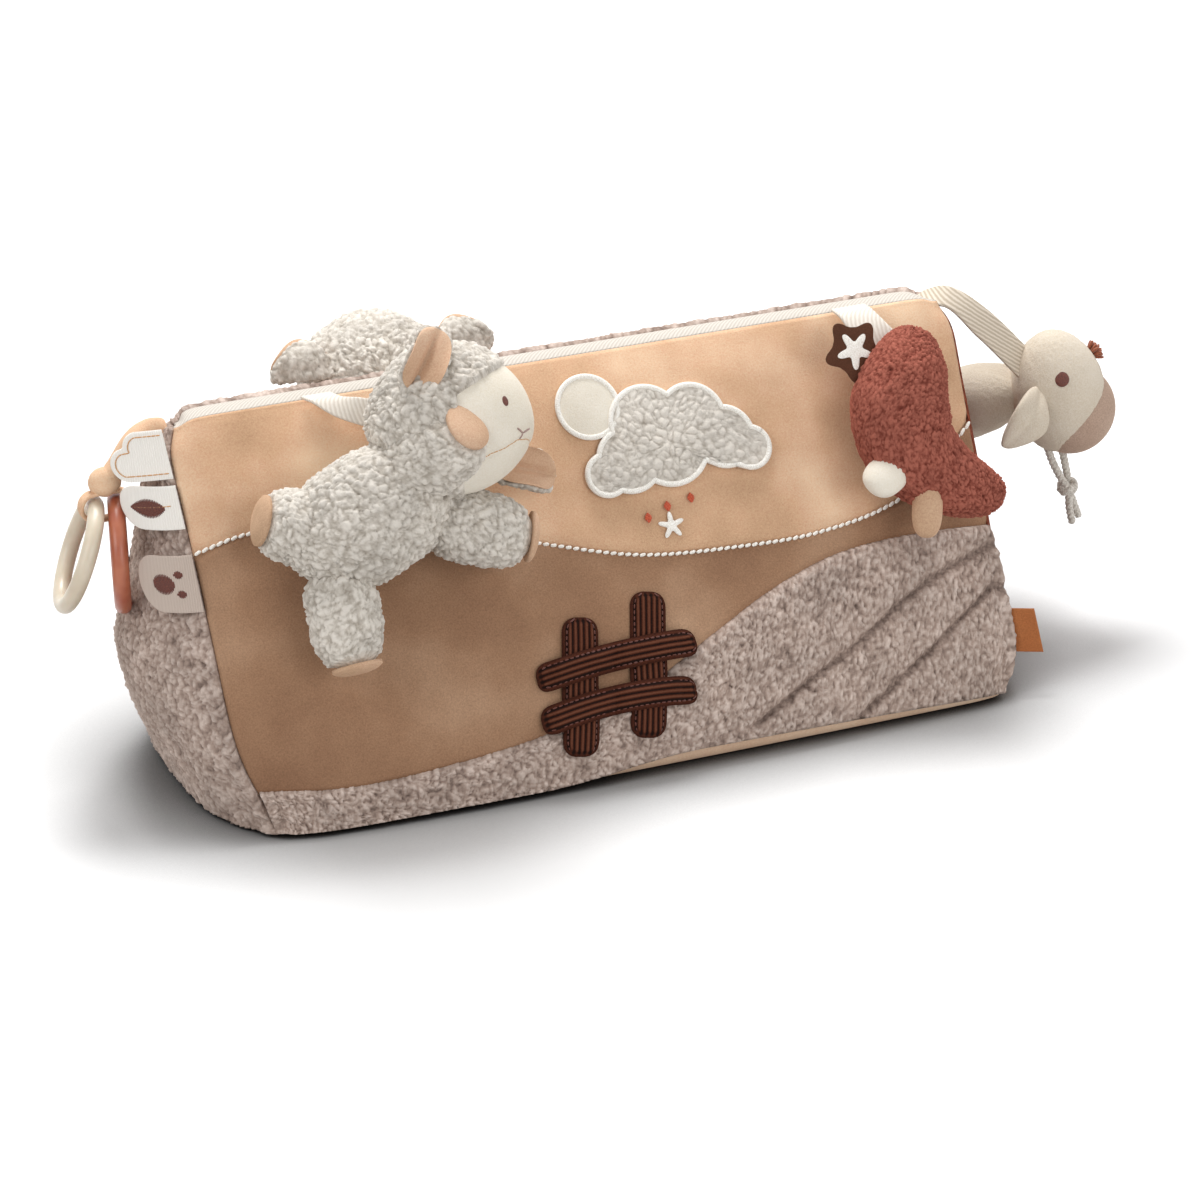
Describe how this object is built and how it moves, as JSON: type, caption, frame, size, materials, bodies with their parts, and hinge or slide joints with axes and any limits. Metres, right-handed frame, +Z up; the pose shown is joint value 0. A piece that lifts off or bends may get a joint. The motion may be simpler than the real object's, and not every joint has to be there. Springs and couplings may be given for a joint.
{
  "type": "activity triangle",
  "caption": "Stuffed three-sided floor cushion for a baby, with plush lambs, a bird, a cow and teething rings hung from its ridge and ends on tapes.",
  "frame": {"origin": "middle of the flat underside, on the floor", "axes": "+X along the ridge towards the cow, +Y towards the fleece slope at the back, +Z up"},
  "size_m": [0.6078, 0.2481, 0.2491],
  "materials": {
    "tan_velour": "soft short-pile velour",
    "taupe_fleece": "curly long-pile fleece",
    "rust_corduroy": "ribbed corduroy",
    "cream_twill": "woven cotton twill",
    "polyester_filling": "loose fibre filling",
    "brown_corduroy": "ribbed corduroy",
    "grey_wool_plush": "curly wool-like plush",
    "ivory_velour": "smooth velour",
    "brown_terry": "looped terry cloth",
    "cream_plush": "short plush",
    "taupe_velour": "smooth velour",
    "rust_felt": "felt",
    "grey_rope": "twisted cotton rope",
    "ivory_plastic": "satin",
    "terracotta_plastic": "satin"
  },
  "bodies": {
    "cushion": {"front_sky_panel": "tan_velour", "front_field_panel": "tan_velour", "front_hill_fleece": "taupe_fleece", "back_panel": "taupe_fleece", "left_end_panel": "taupe_fleece", "right_end_panel": "rust_corduroy", "ridge_gusset": "cream_twill", "base_panel": "tan_velour", "stuffing_core": "polyester_filling", "fence_upright_left": "brown_corduroy", "fence_upright_right": "brown_corduroy", "fence_rail_top": "brown_corduroy", "fence_rail_bottom": "brown_corduroy", "picture_cloud": "grey_wool_plush", "picture_moon": "ivory_velour", "picture_star": "cream_twill"},
    "lamb_strap": {"lamb_tape": "cream_twill"},
    "lamb": {"lamb_ear_near": "tan_velour", "lamb_ear_far": "tan_velour", "lamb_body": "grey_wool_plush", "lamb_head": "grey_wool_plush", "lamb_hind_leg_near": "grey_wool_plush", "lamb_hind_leg_far": "grey_wool_plush", "lamb_fore_leg_far": "grey_wool_plush", "lamb_fore_leg_near": "grey_wool_plush", "lamb_face": "ivory_velour"},
    "back_lamb_strap": {"back_lamb_tape": "cream_twill"},
    "back_lamb": {"back_lamb_ear_left": "tan_velour", "back_lamb_ear_right": "tan_velour", "back_lamb_body": "grey_wool_plush", "back_lamb_head": "grey_wool_plush", "back_lamb_hind_leg_left": "grey_wool_plush", "back_lamb_hind_leg_right": "grey_wool_plush", "back_lamb_fore_leg_left": "grey_wool_plush", "back_lamb_fore_leg_right": "grey_wool_plush", "back_lamb_face": "ivory_velour"},
    "bird_strap": {"bird_tape": "cream_twill"},
    "bird": {"bird_body": "brown_terry", "bird_foot_left": "ivory_velour", "bird_foot_right": "tan_velour", "bird_star_label": "brown_corduroy"},
    "cow_strap": {"cow_tape": "cream_twill"},
    "cow": {"cow_head": "cream_plush", "cow_muzzle": "taupe_velour", "cow_body": "cream_plush", "cow_ear_near": "cream_plush", "cow_ear_far": "cream_plush", "cow_rope_knot": "grey_rope", "cow_rope_left": "grey_rope", "cow_rope_right": "grey_rope"},
    "ring_holder": {"ring_loop": "tan_velour"},
    "ivory_ring": {"ring_ivory": "ivory_plastic"},
    "terracotta_ring": {"ring_terracotta": "terracotta_plastic"},
    "cloud_tag": {"label_cloud": "cream_twill"},
    "leaf_tag": {"label_leaf": "cream_twill"},
    "round_tag": {"label_round": "taupe_fleece"},
    "right_tab": {"side_tab": "rust_felt"}
  },
  "joints": [
    {"name": "lamb_lift", "type": "hinge", "parent": "cushion", "child": "lamb_strap", "pos_m": [-0.14, -0.01, 0.206], "axis": [-1, 0, 0], "range_deg": [0, 45]},
    {"name": "lamb_sway", "type": "hinge", "parent": "lamb_strap", "child": "lamb", "pos_m": [-0.094, -0.03095, 0.18923], "axis": [0, -0.9081, 0.4188], "range_deg": [-12, 12]},
    {"name": "back_lamb_lift", "type": "hinge", "parent": "cushion", "child": "back_lamb_strap", "pos_m": [-0.076, 0.01, 0.206], "axis": [1, 0, 0], "range_deg": [0, 45]},
    {"name": "back_lamb_sway", "type": "hinge", "parent": "back_lamb_strap", "child": "back_lamb", "pos_m": [-0.076, 0.04449, 0.16464], "axis": [0, 0.9081, 0.4188], "range_deg": [-12, 12]},
    {"name": "bird_lift", "type": "hinge", "parent": "cushion", "child": "bird_strap", "pos_m": [0.163, -0.01, 0.206], "axis": [-1, 0, 0], "range_deg": [0, 60]},
    {"name": "bird_sway", "type": "hinge", "parent": "bird_strap", "child": "bird", "pos_m": [0.178, -0.03472, 0.18106], "axis": [0, -0.9081, 0.4188], "range_deg": [-10, 10]},
    {"name": "cow_lift", "type": "hinge", "parent": "cushion", "child": "cow_strap", "pos_m": [0.225, 0, 0.206], "axis": [0, -1, 0], "range_deg": [0, 60]},
    {"name": "cow_swing", "type": "hinge", "parent": "cow_strap", "child": "cow", "pos_m": [0.271, -0.009, 0.154], "axis": [1, 0, 0], "range_deg": [-6, 14]},
    {"name": "ring_loop_lift", "type": "hinge", "parent": "cushion", "child": "ring_holder", "pos_m": [-0.225, 0, 0.206], "axis": [0, 1, 0], "range_deg": [0, 60]},
    {"name": "ivory_ring_swing", "type": "hinge", "parent": "ring_holder", "child": "ivory_ring", "pos_m": [-0.258, 0.003, 0.16], "axis": [-0.9055, 0.1841, 0.3823], "range_deg": [-9, 12]},
    {"name": "terracotta_ring_swing", "type": "hinge", "parent": "ring_holder", "child": "terracotta_ring", "pos_m": [-0.247, 0.003, 0.16], "axis": [-0.9631, 0.269, 0], "range_deg": [-12, 5]},
    {"name": "cloud_tag_flap", "type": "hinge", "parent": "cushion", "child": "cloud_tag", "pos_m": [-0.2258, -0.0172, 0.1898], "axis": [0, 0.4188, 0.9081], "range_deg": [0, 45]},
    {"name": "leaf_tag_flap", "type": "hinge", "parent": "cushion", "child": "leaf_tag", "pos_m": [-0.2244, -0.0289, 0.1644], "axis": [0, 0.4188, 0.9081], "range_deg": [0, 45]},
    {"name": "round_tag_flap", "type": "hinge", "parent": "cushion", "child": "round_tag", "pos_m": [-0.2227, -0.0457, 0.128], "axis": [0, 0.4188, 0.9081], "range_deg": [0, 45]},
    {"name": "right_tab_flap", "type": "hinge", "parent": "cushion", "child": "right_tab", "pos_m": [0.22475, -0.0891, 0.0354], "axis": [0, 0.4188, 0.9081], "range_deg": [-25, 45]}
  ]
}
